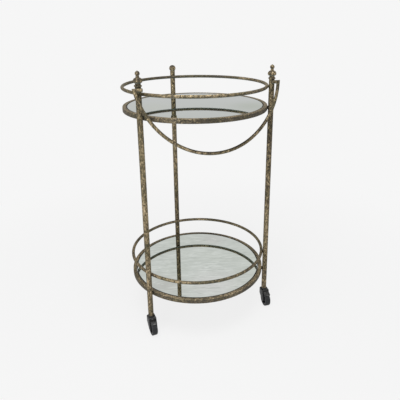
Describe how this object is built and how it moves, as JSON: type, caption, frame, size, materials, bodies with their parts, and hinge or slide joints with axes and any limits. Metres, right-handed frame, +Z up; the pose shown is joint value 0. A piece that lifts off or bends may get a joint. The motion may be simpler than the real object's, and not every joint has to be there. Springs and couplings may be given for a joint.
{
  "type": "bar cart",
  "caption": "Round two-tier rolling bar cart with mirrored shelves, gallery rails, a drop handle and swivel casters.",
  "frame": {"origin": "on the floor, under the middle of the plan box", "axes": "+Z up, -Y towards the drop handle, +X to the right seen from the handle's side"},
  "size_m": [0.4589, 0.479, 0.8393],
  "materials": {
    "antique_gold": "hand-rubbed antique gold with dark mottling",
    "mirror_glass": "polished, slightly aged",
    "board": "black painted fibreboard",
    "steel": "zinc plated",
    "caster_plastic": "black satin",
    "wheel_plastic": "black satin",
    "tyre_rubber": "dark grey tread"
  },
  "bodies": {
    "frame": {"post_left": "antique_gold", "post_right": "antique_gold", "post_rear": "antique_gold", "upper_gallery_rail": "antique_gold", "upper_rail_welds": "antique_gold", "upper_tray_ring": "antique_gold", "upper_tray_studs": "antique_gold", "upper_tray_tabs": "antique_gold", "upper_backing_board": "board", "upper_mirror": "mirror_glass", "lower_gallery_rail": "antique_gold", "lower_rail_welds": "antique_gold", "lower_tray_ring": "antique_gold", "lower_tray_studs": "antique_gold", "lower_tray_tabs": "antique_gold", "lower_backing_board": "board", "lower_mirror": "mirror_glass", "handle": "antique_gold", "handle_arm_left": "antique_gold", "handle_arm_right": "antique_gold", "handle_welds": "antique_gold", "finial_left": "antique_gold", "finial_right": "antique_gold", "ball_cap_rear": "antique_gold", "post_plugs": "steel", "finial_studs": "steel", "caster_socket_left": "caster_plastic", "caster_stem_left": "steel", "stem_ring_left": "steel", "swivel_washer_left": "steel", "caster_socket_right": "caster_plastic", "caster_stem_right": "steel", "stem_ring_right": "steel", "swivel_washer_right": "steel", "caster_socket_rear": "caster_plastic", "caster_stem_rear": "steel", "stem_ring_rear": "steel", "swivel_washer_rear": "steel"},
    "caster_left": {"caster_hood_left": "caster_plastic", "caster_axle_left": "steel"},
    "wheel_left": {"wheel_hub_left": "wheel_plastic", "wheel_tyre_left": "tyre_rubber"},
    "caster_right": {"caster_hood_right": "caster_plastic", "caster_axle_right": "steel"},
    "wheel_right": {"wheel_hub_right": "wheel_plastic", "wheel_tyre_right": "tyre_rubber"},
    "caster_rear": {"caster_hood_rear": "caster_plastic", "caster_axle_rear": "steel"},
    "wheel_rear": {"wheel_hub_rear": "wheel_plastic", "wheel_tyre_rear": "tyre_rubber"}
  },
  "joints": [
    {"name": "caster_swivel_left", "type": "hinge", "parent": "frame", "child": "caster_left", "pos_m": [-0.20629, -0.1291, 0.053], "axis": [0, 0, 1], "continuous": true},
    {"name": "wheel_spin_left", "type": "hinge", "parent": "caster_left", "child": "wheel_left", "pos_m": [-0.2055, -0.14708, 0.025], "axis": [0.999, 0.0436, 0], "continuous": true},
    {"name": "caster_swivel_right", "type": "hinge", "parent": "frame", "child": "caster_right", "pos_m": [0.20629, -0.1291, 0.053], "axis": [0, 0, 1], "continuous": true},
    {"name": "wheel_spin_right", "type": "hinge", "parent": "caster_right", "child": "wheel_right", "pos_m": [0.20481, -0.14704, 0.025], "axis": [0.9966, -0.0819, 0], "continuous": true},
    {"name": "caster_swivel_rear", "type": "hinge", "parent": "frame", "child": "caster_rear", "pos_m": [0, 0.2282, 0.053], "axis": [0, 0, 1], "continuous": true},
    {"name": "wheel_spin_rear", "type": "hinge", "parent": "caster_rear", "child": "wheel_rear", "pos_m": [0.0011, 0.21023, 0.025], "axis": [0.9981, 0.061, 0], "continuous": true}
  ]
}
